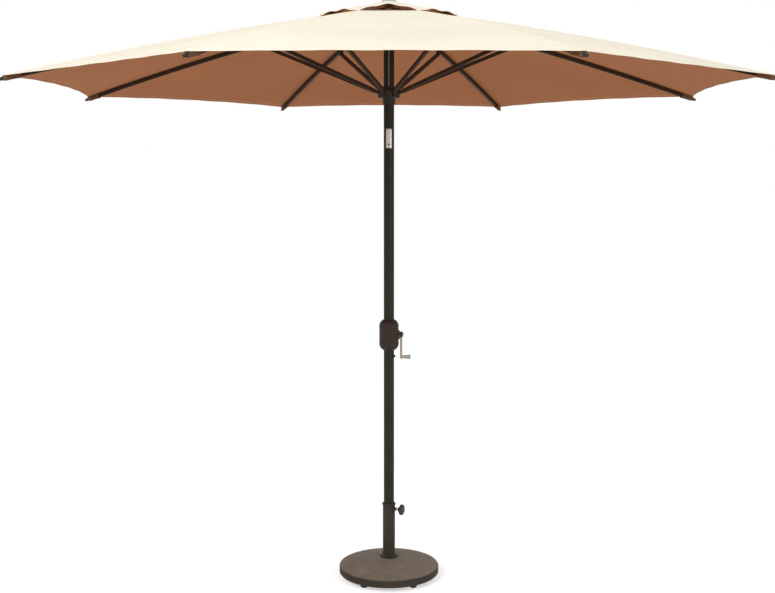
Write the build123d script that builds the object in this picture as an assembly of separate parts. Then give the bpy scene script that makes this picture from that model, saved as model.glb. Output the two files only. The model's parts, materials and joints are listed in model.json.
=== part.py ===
from build123d import *
import math
import os

# Crank-lift market umbrella on a round cast base, open and upright.
# Millimetres and degrees, +Z up, origin on the floor at the pole's axis.
# The crank points along +X and the tilt slot faces -Y.

# General fits
running_fit = 0.05
seat_fit = 0.1
moving_gap = 0.3

# Base casting
base_diameter = 460.0
base_rim_height = 54.0
base_dome_rise = 38.0
base_dome_bow = 4.0
base_edge_round = 7.0
base_plate = 10.0
base_rim_wall = 12.0
base_rim_clearance = 20.0
base_boss_diameter = 76.0
base_boss_height = 34.0
base_rib_width = 10.0
base_rib_lift = 5.0

# Rubber feet
foot_count = 5
foot_circle_radius = 188.0
foot_diameter = 36.0
foot_stem_diameter = 10.0
foot_stem_length = 12.0

# Socket tube with its bolt, cover flange and collar
tube_diameter = 57.0
tube_wall = 2.0
tube_floor = 8.0
tube_length = 244.0
bolt_diameter = 12.0
bolt_head_flats = 19.0
bolt_head_height = 7.5
flange_diameter = 86.0
flange_height = 13.0
collar_diameter = 63.0
collar_lip = 8.0
collar_depth = 62.0

# Clamp screw and knob
clamp_below_top = 19.0
clamp_azimuth = -24.0
clamp_boss_diameter = 15.0
clamp_boss_reach = 10.0
clamp_screw_diameter = 8.0
clamp_knob_diameter = 49.0
clamp_knob_thickness = 13.0
clamp_knob_distance = 58.0
clamp_knob_neck = 11.0
clamp_lobe_count = 7
clamp_lobe_cut = 6.0

# Pole
pole_diameter = 48.0
pole_wall = 1.5
plug_lip = 4.0
plug_depth = 32.0
joint_height = 1000.0
joint_sleeve_wall = 1.7
joint_sleeve_below = 90.0
joint_sleeve_above = 82.0
snap_above_joint = 28.0
snap_diameter = 12.0
snap_proud = 6.0
snap_collar = 2.0
snap_collar_diameter = 16.0

# Crank unit
crank_above_joint = 128.0
housing_width = 89.0
housing_height = 139.0
housing_mouth = 4.0
housing_wall = 3.0
housing_screw_post = 10.0
housing_screw_spread = 33.0
housing_screw_rise = 34.0
housing_boss_diameter = 42.0
housing_boss_reach = 50.0
shaft_diameter = 10.0
bush_wall = 4.0
bush_start = 18.0
bush_end = 46.0
shaft_blind_end = 36.0
drum_width = 26.0
drum_flange = 2.0
drum_flange_diameter = 34.0
drum_core_diameter = 20.0
wound_diameter = 29.0
arm_thickness = 11.5
arm_width = 17.0
arm_hub_diameter = 26.0
arm_hub_step = 1.2
crank_throw = 103.0
grip_pin_diameter = 8.0
grip_length = 38.0
grip_neck_diameter = 15.0
grip_end_diameter = 21.0
grip_cap = 3.0

# Tilt joint
tilt_seam_height = 1981.0
tilt_seam_gap = 0.5
tilt_pivot_rise = 101.0
tilt_slot_drop = 9.5
tilt_slot_width = 28.0
tongue_width = 26.0
tongue_depth_behind = 9.0
tongue_face_drop = 12.6
tongue_groove_drop = 19.0
tongue_neck_depth = 9.0
tongue_eye_radius = 13.0
tongue_plug_length = 90.0
tilt_pin_diameter = 8.0
tilt_pin_inner_end = 9.0
tilt_sleeve_rise = 48.0
tilt_sleeve_foot = 5.0
tilt_button_rise = 19.0
tilt_button_diameter = 8.0
tilt_button_length = 12.0
tilt_button_proud = 1.5
cord_channel_diameter = 10.0

# Lift cord and top pulley
cord_diameter = 3.0
cord_pulley_radius = 14.0
pulley_below_hub = 80.0
pulley_width = 8.0
pulley_rim = 2.5
pulley_axle_diameter = 5.0

# Top hub and finial
rib_count = 8
hub_pivot_radius = 50.0
hub_above_seam = 619.0
hub_radius = 60.0
hub_below_pivot = 12.0
hub_above_pivot = 12.0
hub_socket_depth = 26.0
hub_socket_wall = 6.0
hub_post_radius = 15.0
hub_post_rise = 42.5
hub_pin_diameter = 5.0
hub_pin_length = 22.0
stud_diameter = 10.0
stud_length = 14.0
finial_diameter = 70.0
finial_top_diameter = 34.0
finial_height = 20.0

# Ribs, brackets and tip caps
rib_width = 12.5
rib_height = 19.0
rib_wall = 1.2
rib_end_radius = 1655.0
rib_end_drop = 348.0
rib_bow = 19.0
tip_cap_length = 32.0
tip_cap_wall = 1.5
tip_cap_plug = 20.0
bracket_radius = 646.0
bracket_drop = 18.5
bracket_plate = 2.0
bracket_length = 34.0
strut_pin_diameter = 5.0

# Struts
strut_width = 11.0
strut_height = 16.0
strut_wall = 1.2
strut_tongue_width = 8.0
strut_tongue_height = 12.0
strut_inner_tongue = 26.0
strut_outer_tongue = 16.0

# Runner
runner_pivot_radius = 45.0
runner_below_hub = 367.0
runner_wall = 2.4
runner_bore_gap = 2.6
runner_pad_gap = 0.9
runner_pad_width = 7.0
runner_head = 29.0
runner_skirt = 47.0
runner_ring_radius = 50.0
runner_ring_rise = 13.0
runner_ring_drop = 11.0
runner_lip = 9.0
runner_lip_width = 5.0
runner_slot_width = 9.2
runner_lug_radius = 4.5

# Canopy and vent cap
canopy_thickness = 1.1
canopy_lift = 1.8
canopy_opening_radius = 240.0
canopy_corner_radius = 1668.0
canopy_stations = 5
hem_sag = 6.0
hem_scallop = 50.0
vent_corner_radius = 335.0
vent_arch = 26.0
vent_seat_gap = 0.4
vent_flat_radius = 34.0

# Worked-out places
pole_radius = pole_diameter / 2
pole_bore = pole_radius - pole_wall
tube_bore = tube_diameter / 2 - tube_wall
base_top_height = base_rim_height + base_dome_rise
tube_seat = base_top_height
tube_top = tube_seat + tube_length
clamp_height = tube_top - clamp_below_top
socket_floor = tube_seat + tube_floor
pole_start = socket_floor + plug_lip
snap_height = joint_height + snap_above_joint
crank_height = joint_height + crank_above_joint
tilt_pivot_height = tilt_seam_height + tilt_pivot_rise
tilt_slot_top = tilt_pivot_height - tilt_slot_drop
tongue_face_top = tilt_pivot_height - tongue_face_drop
tilt_sleeve_top = tilt_pivot_height + tilt_sleeve_rise
tilt_button_height = tilt_seam_height + tilt_button_rise
hub_pivot_height = tilt_seam_height + hub_above_seam
hub_post_top = hub_pivot_height + hub_post_rise
pulley_height = hub_pivot_height - pulley_below_hub
upper_pole_start = tilt_seam_height + tilt_seam_gap
tilt_mouth_height = tilt_pivot_height - math.sqrt(tilt_pivot_rise ** 2 - pole_radius ** 2)
upper_pole_top = hub_pivot_height - hub_below_pivot - 3.0
runner_pivot_height = hub_pivot_height - runner_below_hub
runner_top = runner_pivot_height + runner_head
runner_bottom = runner_pivot_height - runner_skirt
runner_ring_top = runner_pivot_height + runner_ring_rise
runner_ring_bottom = runner_pivot_height - runner_ring_drop
runner_bore = pole_radius + runner_bore_gap
runner_radius = runner_bore + runner_wall
cord_fall_y = -2 * cord_pulley_radius
rib_step = 360.0 / rib_count
rib_azimuths = [rib_step * (k + 0.5) for k in range(rib_count)]
panel_azimuths = [rib_step * k for k in range(rib_count)]

# Rib line: one arc from the hub pivot to the end of the rib tube
rib_end_height = hub_pivot_height - rib_end_drop
rib_chord = math.hypot(rib_end_radius - hub_pivot_radius, rib_end_drop)
rib_arc_radius = (rib_chord ** 2 / 4 + rib_bow ** 2) / (2 * rib_bow)
rib_slope = math.atan2(rib_end_drop, rib_end_radius - hub_pivot_radius)
rib_arc_depth = rib_arc_radius - rib_bow
rib_arc_centre_r = (hub_pivot_radius + rib_end_radius) / 2 - rib_arc_depth * math.sin(rib_slope)
rib_arc_centre_z = (hub_pivot_height + rib_end_height) / 2 - rib_arc_depth * math.cos(rib_slope)


def arc_height(radius, offset=0.0):
    """Height of the rib line at a distance from the axis, offset square to the line."""
    reach = rib_arc_radius + offset
    return rib_arc_centre_z + math.sqrt(reach ** 2 - (radius - rib_arc_centre_r) ** 2)


def arc_angle(radius):
    """Slope of the rib line below the horizontal, in degrees."""
    return math.degrees(math.asin((radius - rib_arc_centre_r) / rib_arc_radius))


def rib_point(radius, offset=0.0):
    """Point on the rib line's normal through a distance from the axis, as (r, z)."""
    turn = math.radians(arc_angle(radius))
    height = arc_height(radius)
    return radius + offset * math.sin(turn), height + offset * math.cos(turn)


strut_pivot = rib_point(bracket_radius, -bracket_drop)
canopy_under = rib_height / 2 + canopy_lift
canopy_over = canopy_under + canopy_thickness


def lathe(*points):
    """Solid of revolution about the Z axis from (radius, height) corners."""
    outline = Polyline(*[(r, 0, z) for r, z in points], close=True)
    return revolve(make_face(outline), Axis.Z)


def tube(outer, inner, low, high):
    return lathe((inner, low), (outer, low), (outer, high), (inner, high))


def rod(radius, start, end):
    """Round bar between two points."""
    way = Vector(*end) - Vector(*start)
    return extrude(Plane(origin=start, z_dir=way) * Circle(radius), amount=way.length)


def block(x0, x1, y0, y1, z0, z1):
    """Box between two corners."""
    shape = Box(x1 - x0, y1 - y0, z1 - z0, align=Align.MIN)
    return Pos(x0, y0, z0) * shape


def turned(shape, azimuth):
    return Rot(0, 0, azimuth) * shape


def around(shape, azimuths):
    """One copy of a shape at each azimuth."""
    return [turned(shape, azimuth) for azimuth in azimuths]


def group(*solids):
    """Separate solids that share one node."""
    return Compound(children=[s for part in solids for s in part.solids()])


def dome_height(radius):
    """Height of the base's domed top at a distance from the axis."""
    inner = flange_diameter / 2
    outer = base_diameter / 2
    slope = math.atan2(base_dome_rise, outer - inner)
    chord = math.hypot(base_dome_rise, outer - inner)
    arc = (chord ** 2 / 4 + base_dome_bow ** 2) / (2 * base_dome_bow)
    depth = arc - base_dome_bow
    centre_r = (inner + outer) / 2 - depth * math.sin(slope)
    centre_z = base_rim_height + base_dome_rise / 2 - depth * math.cos(slope)
    return centre_z + math.sqrt(arc ** 2 - (radius - centre_r) ** 2)


def dome_band(inner, outer, low, drop):
    """Ring between two distances from the axis, from a level up to below the domed top."""
    middle = (inner + outer) / 2
    top = [(r, 0, dome_height(r) - drop) for r in (inner, middle, outer)]
    outline = [
        ThreePointArc(*top),
        Line(top[2], (outer, 0, low)),
        Line((outer, 0, low), (inner, 0, low)),
        Line((inner, 0, low), top[0]),
    ]
    return revolve(make_face(outline), Axis.Z)


def base_weight():
    """Ribbed iron casting: domed plate, rim, centre boss, radial ribs and foot bosses."""
    radius = base_diameter / 2
    inner = radius - base_rim_wall
    boss = base_boss_diameter / 2
    seat = flange_diameter / 2
    shell = dome_band(seat, radius, base_rim_clearance, 0)
    rims = shell.edges().filter_by(GeomType.CIRCLE).filter_by(lambda e: abs(e.radius - radius) < 0.01)
    shell = fillet(rims.sort_by(Axis.Z)[-1], base_edge_round)
    foot_rim = shell.edges().filter_by(GeomType.CIRCLE).filter_by(lambda e: abs(e.radius - radius) < 0.01)
    shell = chamfer(foot_rim.sort_by(Axis.Z)[0], 4)
    shell += tube(seat, bolt_diameter / 2 + seat_fit, base_rim_clearance, base_top_height)
    shell -= dome_band(boss, inner, 0, base_plate)
    shell -= Cylinder(boss + 1, base_boss_height * 2)
    envelope = dome_band(boss - 2, inner + 2, base_rim_clearance, base_plate - 3)
    low = base_rim_clearance + base_rib_lift
    rib = block(boss - 2, inner + 2, -base_rib_width / 2, base_rib_width / 2, low, base_top_height)
    foot_boss = rod(
        foot_diameter / 2,
        (foot_circle_radius, 0, base_rim_clearance),
        (foot_circle_radius, 0, base_top_height),
    )
    stem = rod(
        foot_stem_diameter / 2 + seat_fit,
        (foot_circle_radius, 0, 0),
        (foot_circle_radius, 0, base_rim_clearance + foot_stem_length + 1),
    )
    carrier = (rib + foot_boss) & envelope
    for azimuth in foot_azimuths():
        shell += turned(carrier, azimuth)
    for azimuth in foot_azimuths():
        shell -= turned(stem, azimuth)
    return shell


def foot_azimuths():
    """Feet evenly round the rim, one of them at the back."""
    return [90 + 360.0 / foot_count * k for k in range(foot_count)]


def base_feet():
    stem_top = base_rim_clearance + foot_stem_length
    stem = foot_stem_diameter / 2
    pad = foot_diameter / 2
    foot = lathe(
        (0, 0),
        (pad - 4, 0),
        (pad - 1, 3),
        (pad - 1, base_rim_clearance - 3),
        (pad - 3, base_rim_clearance),
        (stem, base_rim_clearance),
        (stem, stem_top),
        (0, stem_top),
    )
    return group(*around(Pos(foot_circle_radius, 0, 0) * foot, foot_azimuths()))


def tube_bolt():
    """Hexagon bolt and washer that draw the socket tube down onto the casting."""
    washer = 2.0
    head_top = base_boss_height - washer
    head = Pos(0, 0, head_top - bolt_head_height) * extrude(
        RegularPolygon(bolt_head_flats / 2, 6, major_radius=False), bolt_head_height
    )
    ring = Pos(0, 0, head_top) * Cylinder(
        bolt_head_flats * 0.75, washer, align=(Align.CENTER, Align.CENTER, Align.MIN)
    )
    shank = rod(bolt_diameter / 2, (0, 0, head_top), (0, 0, socket_floor - 1))
    return head + ring + shank


def along_clamp(distance):
    """Point on the clamp screw's axis at a distance from the pole's axis."""
    turn = math.radians(clamp_azimuth)
    return distance * math.cos(turn), distance * math.sin(turn), clamp_height


def base_tube():
    """Socket tube with a tapped floor and a welded boss for the clamp screw."""
    outer = tube_diameter / 2
    shell = lathe(
        (bolt_diameter / 2, tube_seat),
        (outer, tube_seat),
        (outer, tube_top),
        (tube_bore, tube_top),
        (tube_bore, socket_floor),
        (bolt_diameter / 2, socket_floor),
    )
    boss = rod(clamp_boss_diameter / 2, along_clamp(tube_bore + 1), along_clamp(outer + clamp_boss_reach))
    hole = rod(
        clamp_screw_diameter / 2 + moving_gap,
        along_clamp(0),
        along_clamp(outer + clamp_boss_reach + 1),
    )
    thread = rod(
        clamp_screw_diameter / 2 + running_fit,
        along_clamp(tube_bore - 1),
        along_clamp(outer + clamp_boss_reach + 1),
    )
    return shell + boss - thread - (hole & shell)


def tube_flange():
    """Cover ring at the tube's foot."""
    inner = tube_diameter / 2 + seat_fit
    outer = flange_diameter / 2
    return lathe(
        (inner, tube_seat),
        (outer, tube_seat),
        (outer, tube_seat + flange_height * 0.4),
        (outer - 5, tube_seat + flange_height * 0.6),
        (inner + 6, tube_seat + flange_height * 0.8),
        (inner + 3, tube_seat + flange_height),
        (inner, tube_seat + flange_height),
    )


def tube_collar():
    """Plastic lip and sleeve that line the tube's mouth and guide the pole."""
    inner = pole_radius + moving_gap
    sleeve = tube_bore - seat_fit
    lip = collar_diameter / 2
    low = tube_top - collar_depth
    collar = lathe(
        (inner, low),
        (sleeve, low),
        (sleeve, tube_top),
        (lip, tube_top),
        (lip, tube_top + collar_lip * 0.6),
        (lip - 3, tube_top + collar_lip),
        (inner, tube_top + collar_lip),
    )
    hole = rod(clamp_screw_diameter / 2 + moving_gap, along_clamp(0), along_clamp(tube_bore))
    return collar - hole


def clamp_screw():
    tip = pole_radius + moving_gap
    return rod(clamp_screw_diameter / 2, along_clamp(tip), along_clamp(clamp_knob_distance + 6))


def clamp_knob():
    """Lobed hand knob on the clamp screw."""
    disc = Pos(0, 0, 0) * Cylinder(
        clamp_knob_diameter / 2, clamp_knob_thickness, align=(Align.CENTER, Align.CENTER, Align.MIN)
    )
    disc = fillet(disc.edges().filter_by(GeomType.CIRCLE), clamp_knob_thickness * 0.3)
    for k in range(clamp_lobe_count):
        cut = Pos(clamp_knob_diameter / 2 + clamp_lobe_cut * 0.5, 0, -1) * Cylinder(
            clamp_lobe_cut, clamp_knob_thickness + 2, align=(Align.CENTER, Align.CENTER, Align.MIN)
        )
        disc -= turned(cut, 360.0 / clamp_lobe_count * k)
    neck = Pos(0, 0, -clamp_knob_neck) * Cone(
        clamp_screw_diameter, clamp_knob_diameter * 0.34, clamp_knob_neck,
        align=(Align.CENTER, Align.CENTER, Align.MIN),
    )
    bore = Pos(0, 0, -clamp_knob_neck) * Cylinder(
        clamp_screw_diameter / 2, clamp_knob_neck + 6, align=(Align.CENTER, Align.CENTER, Align.MIN)
    )
    way = Vector(*along_clamp(1)) - Vector(*along_clamp(0))
    place = Plane(origin=along_clamp(clamp_knob_distance), z_dir=way)
    return place * (disc + neck - bore)


def pole_foot_plug():
    lip = tube_bore - moving_gap
    body = pole_bore - seat_fit
    top = pole_start + plug_depth
    return lathe(
        (0, socket_floor),
        (lip - 2, socket_floor),
        (lip, socket_floor + 2),
        (lip, pole_start),
        (body, pole_start),
        (body, top),
        (body - 3, top),
        (body - 3, pole_start),
        (0, pole_start),
    )


def lower_pole():
    return tube(pole_radius, pole_bore, pole_start, joint_height)


def joint_sleeve():
    """Tube inside the pole joint, with the hole that the snap button comes through."""
    outer = pole_bore - seat_fit
    sleeve = tube(
        outer, outer - joint_sleeve_wall, joint_height - joint_sleeve_below, joint_height + joint_sleeve_above
    )
    return sleeve - snap_hole()


def snap_hole():
    return rod(snap_diameter / 2 + moving_gap, (0, 0, snap_height), (pole_diameter, 0, snap_height))


def snap_button():
    """Domed button that locks the pole joint, with the collar that keeps it in."""
    radius = snap_diameter / 2
    tip = pole_radius + snap_proud
    sleeve_bore = pole_bore - seat_fit - joint_sleeve_wall
    collar_radius = snap_collar_diameter / 2
    seat = math.sqrt(sleeve_bore ** 2 - collar_radius ** 2) - moving_gap
    button = lathe(
        (0, seat - snap_collar),
        (collar_radius, seat - snap_collar),
        (collar_radius, seat),
        (radius, seat),
        (radius, tip - 3),
        (radius - 1, tip - 1),
        (radius - 3, tip),
        (0, tip),
    )
    return Pos(0, 0, snap_height) * Rot(0, 90, 0) * button


def mid_pole():
    """Middle pole; its top is hollowed about the tilt axis, so that the upper pole rolls in it."""
    pole = tube(pole_radius, pole_bore, joint_height, tilt_mouth_height)
    pole -= tilt_roll(tilt_pivot_rise)
    bush = shaft_diameter / 2 + bush_wall + seat_fit
    crossing = rod(bush, (-pole_diameter, 0, crank_height), (pole_diameter, 0, crank_height))
    return pole - snap_hole() - crossing


def crank_housing():
    """Barrel-shaped housing round the pole, with a boss for the crank shaft."""
    half = housing_width / 2
    top = crank_height + housing_height / 2
    low = crank_height - housing_height / 2
    inner = pole_radius + seat_fit
    mouth = inner + housing_mouth
    shoulder = housing_height * 0.26
    waist = (mouth + half) / 2 + (half - mouth) * 0.2
    profile = [
        Line((inner, 0, low), (mouth, 0, low)),
        ThreePointArc((mouth, 0, low), (waist, 0, low + shoulder * 0.3), (half, 0, low + shoulder)),
        Line((half, 0, low + shoulder), (half, 0, top - shoulder)),
        ThreePointArc((half, 0, top - shoulder), (waist, 0, top - shoulder * 0.3), (mouth, 0, top)),
        Line((mouth, 0, top), (inner, 0, top)),
        Line((inner, 0, top), (inner, 0, low)),
    ]
    barrel = revolve(make_face(profile), Axis.Z)
    boss = rod(housing_boss_diameter / 2, (half - 16, 0, crank_height), (housing_boss_reach, 0, crank_height))
    outer_rim = boss.edges().filter_by(GeomType.CIRCLE).sort_by(Axis.X)[-1]
    boss = fillet(outer_rim, 3)
    bush = shaft_diameter / 2 + bush_wall + seat_fit
    right = rod(bush, (0, 0, crank_height), (bush_end + seat_fit, 0, crank_height))
    left = rod(bush, (0, 0, crank_height), (-shaft_blind_end - seat_fit, 0, crank_height))
    mouth_hole = rod(shaft_diameter / 2 + moving_gap, (0, 0, crank_height), (housing_width, 0, crank_height))
    pole_core = Pos(0, 0, crank_height) * Cylinder(inner, housing_height * 2)
    hollow = tube(half - housing_wall, inner + housing_wall, low + shoulder, top - shoulder)
    hollow -= rod(bush + housing_wall, (-half, 0, crank_height), (half, 0, crank_height))
    for x in (-housing_screw_spread, housing_screw_spread):
        for z in (crank_height - housing_screw_rise, crank_height + housing_screw_rise):
            hollow -= rod(housing_screw_post / 2, (x, -half, z), (x, half, z))
    return barrel + (boss - pole_core) - hollow - right - left - mouth_hole


def shaft_bushes():
    outer = shaft_diameter / 2 + bush_wall
    inner = shaft_diameter / 2 + running_fit
    right = tube(outer, inner, bush_start, bush_end)
    left = tube(outer, inner, bush_start, shaft_blind_end)
    place = Pos(0, 0, crank_height)
    return group(place * Rot(0, 90, 0) * right, place * Rot(0, -90, 0) * left)


def crank_shaft():
    end = housing_boss_reach + moving_gap + arm_thickness
    return rod(shaft_diameter / 2, (1 - shaft_blind_end, 0, crank_height), (end, 0, crank_height))


def cord_drum():
    """Flanged drum on the shaft, inside the pole."""
    half = drum_width / 2
    rim = drum_flange_diameter / 2
    core = drum_core_diameter / 2
    bore = shaft_diameter / 2
    drum = lathe(
        (bore, -half),
        (rim, -half),
        (rim, drum_flange - half),
        (core, drum_flange - half),
        (core, half - drum_flange),
        (rim, half - drum_flange),
        (rim, half),
        (bore, half),
    )
    return Pos(0, 0, crank_height) * Rot(0, 90, 0) * drum


def crank_arm():
    """Flat arm with a stepped hub on the shaft and a riveted pin for the grip."""
    start = housing_boss_reach + moving_gap
    end = start + arm_thickness
    low = crank_height - crank_throw
    side = Plane(origin=(start, 0, 0), x_dir=(0, 1, 0), z_dir=(1, 0, 0))
    bar = side * Pos(0, (crank_height + low) / 2) * SlotCenterToCenter(crank_throw, arm_width, rotation=90)
    arm = extrude(bar, arm_thickness)
    arm = fillet(arm.edges().filter_by(lambda e: e.center().X > end - 0.01), 2)
    hub = rod(arm_hub_diameter / 2, (start, 0, crank_height), (end + arm_hub_step, 0, crank_height))
    pin = rod(grip_pin_diameter / 2, (start, 0, low), (end + grip_length - grip_cap - 1, 0, low))
    bore = rod(shaft_diameter / 2, (start, 0, crank_height), (end, 0, crank_height))
    return arm + hub + pin - bore


def crank_grip():
    """Flared grip that turns on the arm's pin."""
    start = housing_boss_reach + moving_gap + arm_thickness + moving_gap
    bore = grip_pin_diameter / 2 + running_fit
    neck = grip_neck_diameter / 2
    rim = grip_end_diameter / 2
    grip = lathe(
        (bore, 0),
        (neck, 0),
        (neck, grip_length * 0.15),
        (rim - 1, grip_length * 0.7),
        (rim, grip_length * 0.85),
        (rim - 1.5, grip_length * 0.97),
        (rim - 4, grip_length),
        (0, grip_length),
        (0, grip_length - grip_cap),
        (bore, grip_length - grip_cap),
    )
    return Pos(start, 0, crank_height - crank_throw) * Rot(0, 90, 0) * grip


def lift_cord_lower():
    """Cord wound on the drum, and its run up the pole to the tilt joint."""
    half = drum_width / 2 - drum_flange - moving_gap
    core = drum_core_diameter / 2 + moving_gap
    wound = Pos(0, 0, crank_height) * Rot(0, 90, 0) * tube(wound_diameter / 2, core, -half, half)
    lead = (wound_diameter - cord_diameter) / 2
    rise = math.sqrt(wound_diameter ** 2 / 4 - (lead - cord_diameter / 2) ** 2) + moving_gap
    run = rod(cord_diameter / 2, (0, lead, crank_height + rise), (0, 0, tilt_pivot_height - 1))
    return group(wound, run)


def tilt_tongue():
    """Cast tongue on a plug in the lower mast. It swings out through the slot of the upper pole.

    Its front plate stands free of the neck, so that the wall above the slot passes between them.
    """
    face = pole_radius - 2 * moving_gap
    fit = pole_bore - seat_fit
    root = tilt_seam_height - 2
    roll = math.hypot(pole_radius, tilt_slot_drop) + 2 * moving_gap
    groove_top = tongue_groove_drop + tongue_neck_depth * 0.4
    groove_y = -math.sqrt(roll ** 2 - groove_top ** 2)
    plate_y = -math.sqrt(roll ** 2 - tongue_face_drop ** 2)
    turn = (math.atan2(-groove_top, groove_y) + math.atan2(-tongue_face_drop, plate_y)) / 2
    middle = (roll * math.cos(turn), tilt_pivot_height + roll * math.sin(turn))
    lip = (plate_y, tongue_face_top)
    groove = (groove_y, tilt_pivot_height - groove_top)
    neck = (-tongue_neck_depth, tilt_pivot_height - tongue_groove_drop)
    outline = [
        Line((-pole_radius, root), (-pole_radius, lip[1])),
        Line((-pole_radius, lip[1]), lip),
        ThreePointArc(lip, middle, groove),
        Line(groove, neck),
        Line(neck, (-tongue_neck_depth, tilt_pivot_height)),
        Line((-tongue_neck_depth, tilt_pivot_height), (tongue_depth_behind, tilt_pivot_height)),
        Line((tongue_depth_behind, tilt_pivot_height), (tongue_depth_behind, root)),
        Line((tongue_depth_behind, root), (-pole_radius, root)),
    ]
    eye = Pos(0, tilt_pivot_height) * Circle(tongue_eye_radius)
    blade = extrude(Plane.YZ * (make_face(outline) + eye), tongue_width / 2, both=True)
    blade &= lathe(
        (0, root),
        (fit, root),
        (fit, tilt_mouth_height + moving_gap),
        (face, tilt_mouth_height + moving_gap),
        (face, tilt_sleeve_top),
        (0, tilt_sleeve_top),
    )
    plug = lathe(
        (0, tilt_seam_height - tongue_plug_length),
        (fit, tilt_seam_height - tongue_plug_length),
        (fit, tilt_seam_height),
        (0, tilt_seam_height),
    )
    channel = cord_channel_diameter / 2
    bore = rod(channel, (0, 0, 0), (0, 0, tilt_pivot_height * 2))
    swing = block(
        -channel, channel, -tongue_eye_radius - 1, channel,
        tilt_pivot_height - channel, tilt_pivot_height + tongue_eye_radius + 1,
    )
    pin_hole = rod(
        tilt_pin_diameter / 2 + running_fit,
        (-tongue_width, 0, tilt_pivot_height),
        (tongue_width, 0, tilt_pivot_height),
    )
    button_hole = rod(
        tilt_button_diameter / 2 + running_fit * 3,
        (0, -pole_diameter, tilt_button_height),
        (0, -tongue_depth_behind, tilt_button_height),
    )
    return blade + plug - bore - swing - pin_hole - button_hole


def tilt_sleeve():
    """Lining of the upper pole that carries the tilt pins on each side of the tongue."""
    low = upper_pole_start + tilt_sleeve_foot
    sleeve = Pos(0, 0, low) * Cylinder(
        pole_bore - seat_fit, tilt_sleeve_top - low, align=(Align.CENTER, Align.CENTER, Align.MIN)
    )
    room = tongue_width / 2 + moving_gap
    swing = block(
        -room, room, -pole_diameter, tongue_eye_radius + 1,
        low - 1, tilt_pivot_height + tongue_eye_radius + 4,
    )
    bore = rod(cord_channel_diameter / 2, (0, 0, low), (0, 0, tilt_sleeve_top + 1))
    pin_hole = rod(
        tilt_pin_diameter / 2, (-pole_diameter, 0, tilt_pivot_height), (pole_diameter, 0, tilt_pivot_height)
    )
    return sleeve - swing - bore - pin_hole


def tilt_pins():
    """Two stub pins, so that the lift cord passes between them."""
    end = math.sqrt(pole_radius ** 2 - tilt_pin_diameter ** 2 / 4) - seat_fit
    radius = tilt_pin_diameter / 2
    right = rod(radius, (tilt_pin_inner_end, 0, tilt_pivot_height), (end, 0, tilt_pivot_height))
    left = rod(radius, (-tilt_pin_inner_end, 0, tilt_pivot_height), (-end, 0, tilt_pivot_height))
    return group(right, left)


def tilt_button():
    """Push button in the front of the tongue."""
    front = pole_radius - 2 * moving_gap + tilt_button_proud
    radius = tilt_button_diameter / 2
    button = lathe(
        (0, front - tilt_button_length),
        (radius, front - tilt_button_length),
        (radius, front - 1),
        (radius - 1.5, front),
        (0, front),
    )
    return Pos(0, 0, tilt_button_height) * Rot(90, 0, 0) * button


def tilt_roll(radius):
    """Roll about the tilt axis, as wide as the pole."""
    return rod(radius, (-pole_diameter, 0, tilt_pivot_height), (pole_diameter, 0, tilt_pivot_height))


def upper_pole():
    """Upper pole with a rounded foot, the tilt slot and the pulley slot near its top."""
    pole = tube(pole_radius, pole_bore, upper_pole_start, upper_pole_top)
    foot = tube(pole_radius, pole_bore, upper_pole_start, tilt_pivot_height)
    pole -= foot - tilt_roll(tilt_pivot_rise - tilt_seam_gap)
    half = tilt_slot_width / 2
    slot = block(-half, half, -pole_diameter, 0, upper_pole_start - 1, tilt_slot_top)
    pin_hole = rod(
        tilt_pin_diameter / 2, (-pole_diameter, 0, tilt_pivot_height), (pole_diameter, 0, tilt_pivot_height)
    )
    rim = pulley_rim_radius() + 3
    side = pulley_width / 2 + 1
    pulley_slot = block(-side, side, -pole_diameter, 0, pulley_height - rim, pulley_height + rim)
    axle_hole = rod(
        pulley_axle_diameter / 2,
        (-pole_diameter, -cord_pulley_radius, pulley_height),
        (pole_diameter, -cord_pulley_radius, pulley_height),
    )
    return pole - slot - pin_hole - pulley_slot - axle_hole


def pulley_rim_radius():
    return cord_pulley_radius + pulley_rim


def pulley():
    """Grooved sheave that turns the lift cord over at the top of the pole."""
    bore = pulley_axle_diameter / 2 + running_fit
    rim = pulley_rim_radius()
    groove = cord_pulley_radius - cord_diameter / 2 - 0.4
    half = pulley_width / 2
    sheave = lathe(
        (bore, -half),
        (rim, -half),
        (rim, 0.6 - half),
        (groove, -cord_diameter / 2 - 0.4),
        (groove, cord_diameter / 2 + 0.4),
        (rim, half - 0.6),
        (rim, half),
        (bore, half),
    )
    return Pos(0, -cord_pulley_radius, pulley_height) * Rot(0, 90, 0) * sheave


def pulley_axle():
    radius = pulley_axle_diameter / 2
    reach = math.sqrt(pole_radius ** 2 - (cord_pulley_radius + radius) ** 2) - seat_fit
    y = -cord_pulley_radius
    return rod(radius, (-reach, y, pulley_height), (reach, y, pulley_height))


def lift_cord_upper():
    """Cord from the tilt joint up the pole and over the pulley."""
    rise = Line((0, 0, tilt_pivot_height + 1), (0, 0, pulley_height))
    over = ThreePointArc(
        (0, 0, pulley_height),
        (0, -cord_pulley_radius, pulley_height + cord_pulley_radius),
        (0, cord_fall_y, pulley_height),
    )
    section = Plane(origin=(0, 0, tilt_pivot_height + 1), z_dir=(0, 0, 1)) * Circle(cord_diameter / 2)
    return sweep(section, path=Wire([rise, over]))


def lift_cord_fall():
    """Cord from the pulley down the front of the pole into the runner's lug."""
    return rod(cord_diameter / 2, (0, cord_fall_y, pulley_height), (0, cord_fall_y, runner_ring_top + 4))


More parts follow.
